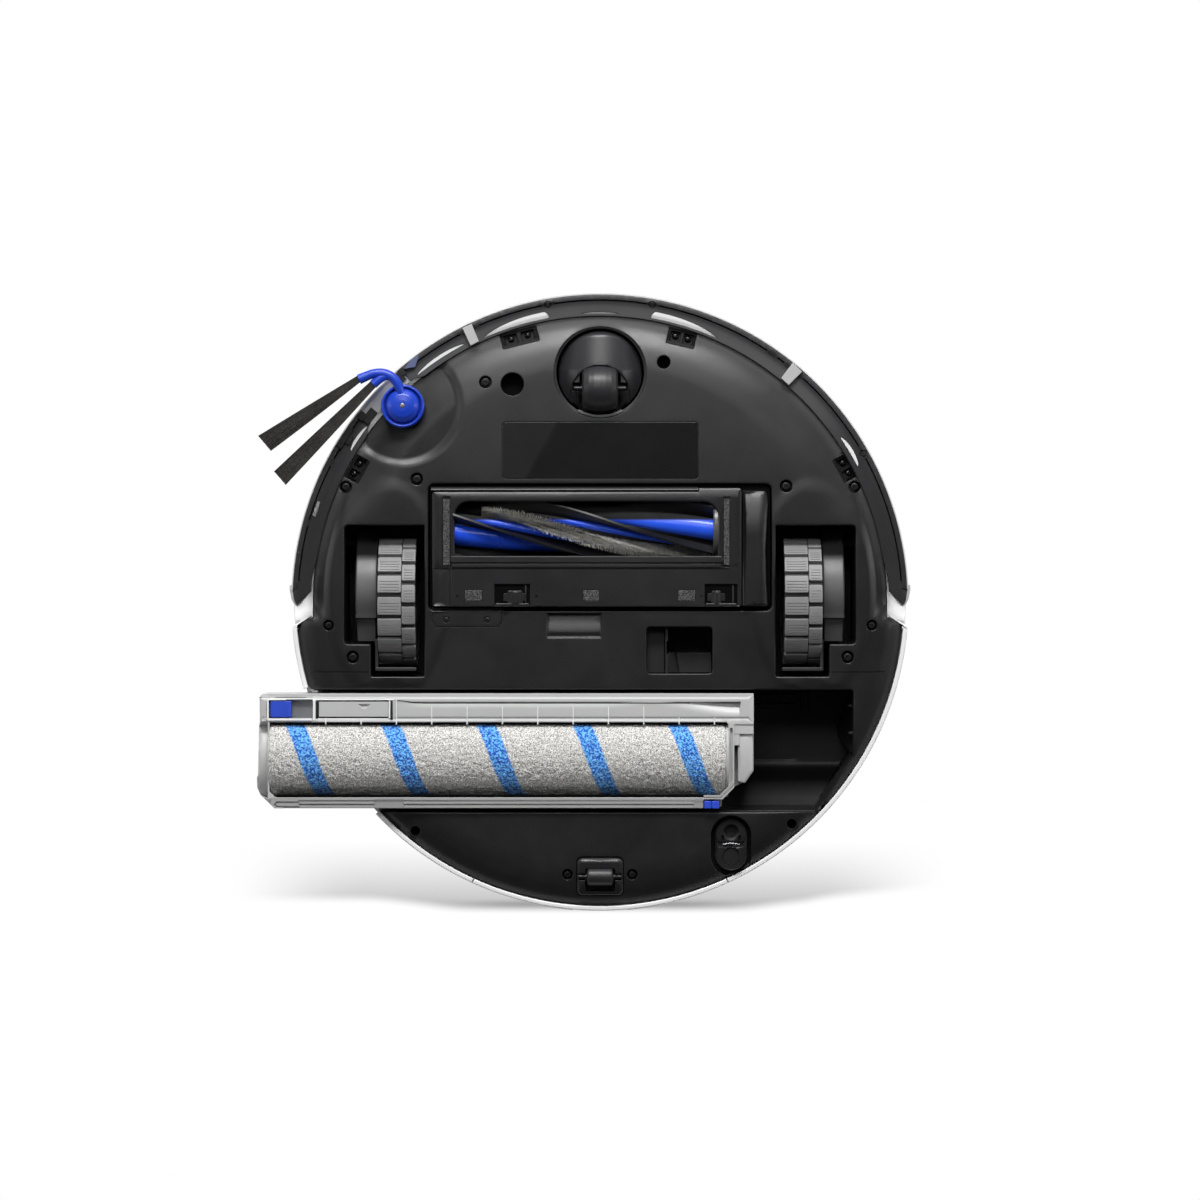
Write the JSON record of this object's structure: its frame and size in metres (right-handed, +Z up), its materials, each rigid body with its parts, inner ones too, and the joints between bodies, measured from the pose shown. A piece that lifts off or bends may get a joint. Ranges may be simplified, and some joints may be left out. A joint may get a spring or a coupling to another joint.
{
  "type": "robot vacuum",
  "caption": "Round robot vacuum and mop: slide-out roller mop, main and side brushes, sprung drive wheels, caster, bumper, lift-off lid and bin, and a laser turret.",
  "frame": {"origin": "bottom centre of the whole object's box: on the floor under the wheels; the round body's own axis stands 8.75 mm towards +X of it, because the mop slides out towards -X", "axes": "+Z up, the body standing on its wheels; the front bumper faces -Y, the charging contacts face +Y, the mop slides out towards -X"},
  "size_m": [0.3676, 0.35, 0.098],
  "materials": {
    "chassis_black": "fine-grained satin black moulding",
    "gloss_black": "polished black",
    "trim_black": "satin black moulding",
    "shell_white": "semi-gloss white moulding",
    "frame_grey": "satin light grey moulding",
    "accent_blue": "semi-gloss blue moulding",
    "fin_blue": "smooth blue rubber",
    "tread_rubber": "ribbed grey-black rubber",
    "roller_rubber": "smooth black rubber",
    "steel": "bright zinc-plated steel",
    "bristle": "stiff black nylon bristle",
    "soft_bristle": "soft grey bristle",
    "fleece": "looped grey microfibre with blue spiral stripes",
    "smoke_plastic": "smoked translucent plastic",
    "battery_wrap": "blue shrink wrap over steel cells",
    "board_green": "solder-mask green",
    "contact_metal": "plated contact"
  },
  "bodies": {
    "chassis": {"chassis_base": "chassis_black", "top_shell": "shell_white", "lidar_turret": "shell_white", "screw_1": "steel", "screw_2": "steel", "screw_3": "steel", "screw_4": "steel", "cliff_sensor_front_left": "gloss_black", "cliff_sensor_front_right": "gloss_black", "cliff_sensor_side_left": "gloss_black", "cliff_sensor_side_right": "gloss_black", "rating_plate_blank": "gloss_black", "charge_contact_left": "contact_metal", "charge_contact_right": "contact_metal", "brush_housing": "chassis_black", "main_brush_motor": "steel", "side_brush_motor": "steel", "suction_fan": "trim_black", "main_board": "board_green", "battery_pack": "battery_wrap", "clean_water_tank": "smoke_plastic", "dirty_water_tank": "smoke_plastic", "water_port": "chassis_black", "evac_duct": "chassis_black"},
    "bumper": {"bumper_shell": "shell_white", "bumper_window": "gloss_black", "bumper_trim": "trim_black"},
    "lid": {"top_lid": "shell_white"},
    "bin": {"dust_bin": "smoke_plastic", "bin_filter": "frame_grey"},
    "lidar": {"lidar_rotor": "gloss_black"},
    "power_key": {"power_button": "frame_grey"},
    "caster": {"caster_fork": "chassis_black", "caster_axle": "steel"},
    "caster_roller": {"caster_wheel": "roller_rubber"},
    "arm_left": {"drive_arm_left": "chassis_black", "suspension_spring_left": "steel"},
    "arm_right": {"drive_arm_right": "chassis_black", "suspension_spring_right": "steel"},
    "wheel_left": {"tyre_left": "tread_rubber", "wheel_hub_left": "trim_black"},
    "wheel_right": {"tyre_right": "tread_rubber", "wheel_hub_right": "trim_black"},
    "side_brush": {"side_brush_hub": "accent_blue", "side_brush_tuft_a": "bristle", "side_brush_tuft_b": "bristle"},
    "main_brush": {"main_brush_rotor": "fin_blue", "main_brush_bristles": "soft_bristle"},
    "cover": {"brush_cover": "chassis_black"},
    "latch_left": {"cover_latch_left": "trim_black"},
    "latch_right": {"cover_latch_right": "trim_black"},
    "mop_carrier": {"mop_sled": "trim_black"},
    "mop_head": {"mop_frame": "frame_grey"},
    "mop_drum": {"mop_core": "trim_black", "mop_fleece": "fleece"},
    "mop_key_left": {"mop_button_left": "accent_blue"},
    "mop_key_right": {"mop_button_right": "accent_blue"},
    "rear_wheel": {"rear_roller": "roller_rubber"},
    "port_flap": {"evac_flap": "trim_black"}
  },
  "joints": [
    {"name": "bumper_press", "type": "slide", "parent": "chassis", "child": "bumper", "axis": [0, 1, 0], "range_m": [0, 0.004], "stiffness_N_per_m": 500},
    {"name": "lid_lift", "type": "slide", "parent": "chassis", "child": "lid", "axis": [0, 0, 1], "range_m": [0, 0.13]},
    {"name": "bin_lift", "type": "slide", "parent": "chassis", "child": "bin", "axis": [0, 0, 1], "range_m": [0, 0.06]},
    {"name": "lidar_spin", "type": "hinge", "parent": "chassis", "child": "lidar", "pos_m": [0.00875, 0.089, 0.085], "axis": [0, 0, 1], "continuous": true},
    {"name": "power_button_press", "type": "slide", "parent": "chassis", "child": "power_key", "axis": [0, 0, -1], "range_m": [0, 0.0012], "stiffness_N_per_m": 400},
    {"name": "caster_swivel", "type": "hinge", "parent": "chassis", "child": "caster", "pos_m": [0.00875, -0.129, 0.03], "axis": [0, 0, 1], "continuous": true},
    {"name": "caster_roll", "type": "hinge", "parent": "caster", "child": "caster_roller", "pos_m": [0.00875, -0.1197, 0.013], "axis": [1, 0, 0], "continuous": true},
    {"name": "suspension_left", "type": "hinge", "parent": "chassis", "child": "arm_left", "pos_m": [-0.12225, -0.034, 0.046], "axis": [-1, 0, 0], "range_deg": [0, 20]},
    {"name": "suspension_right", "type": "hinge", "parent": "chassis", "child": "arm_right", "pos_m": [0.13975, -0.034, 0.046], "axis": [-1, 0, 0], "range_deg": [0, 20]},
    {"name": "wheel_left_spin", "type": "hinge", "parent": "arm_left", "child": "wheel_left", "pos_m": [-0.105, 0, 0.036], "axis": [1, 0, 0], "continuous": true},
    {"name": "wheel_right_spin", "type": "hinge", "parent": "arm_right", "child": "wheel_right", "pos_m": [0.1225, 0, 0.036], "axis": [1, 0, 0], "continuous": true},
    {"name": "side_brush_spin", "type": "hinge", "parent": "chassis", "child": "side_brush", "pos_m": [-0.10185, -0.11, 0.009], "axis": [0, 0, 1], "continuous": true},
    {"name": "main_brush_spin", "type": "hinge", "parent": "chassis", "child": "main_brush", "pos_m": [0.00875, -0.041, 0.0218], "axis": [1, 0, 0], "continuous": true},
    {"name": "brush_cover_open", "type": "hinge", "parent": "chassis", "child": "cover", "pos_m": [0.00875, -0.0634, 0.009], "axis": [-1, 0, 0], "range_deg": [0, 110]},
    {"name": "cover_latch_left_slide", "type": "slide", "parent": "cover", "child": "latch_left", "axis": [0, -1, 0], "range_m": [0, 0.0028], "stiffness_N_per_m": 200},
    {"name": "cover_latch_right_slide", "type": "slide", "parent": "cover", "child": "latch_right", "axis": [0, -1, 0], "range_m": [0, 0.0028], "stiffness_N_per_m": 200},
    {"name": "mop_retract", "type": "slide", "parent": "chassis", "child": "mop_carrier", "axis": [1, 0, 0], "range_m": [0, 0.048]},
    {"name": "mop_lift", "type": "slide", "parent": "mop_carrier", "child": "mop_head", "axis": [0, 0, 1], "range_m": [0, 0.01]},
    {"name": "mop_spin", "type": "hinge", "parent": "mop_head", "child": "mop_drum", "pos_m": [0.00875, 0.087, 0.0238], "axis": [1, 0, 0], "continuous": true},
    {"name": "mop_button_left_slide", "type": "slide", "parent": "mop_head", "child": "mop_key_left", "axis": [1, 0, 0], "range_m": [0, 0.008], "stiffness_N_per_m": 150},
    {"name": "mop_button_right_press", "type": "slide", "parent": "mop_head", "child": "mop_key_right", "axis": [0, -1, 0], "range_m": [0, 0.0018], "stiffness_N_per_m": 300},
    {"name": "rear_roller_spin", "type": "hinge", "parent": "chassis", "child": "rear_wheel", "pos_m": [0.00875, 0.154, 0.0122], "axis": [1, 0, 0], "continuous": true},
    {"name": "evac_flap_swing", "type": "hinge", "parent": "chassis", "child": "port_flap", "pos_m": [0.05325, 0.0152, 0.0468], "axis": [-1, 0, 0], "range_deg": [0, 70]}
  ],
  "couplings": [
    {"joint": "bin_lift", "follows": "lid_lift", "ratio": 0.46}
  ]
}
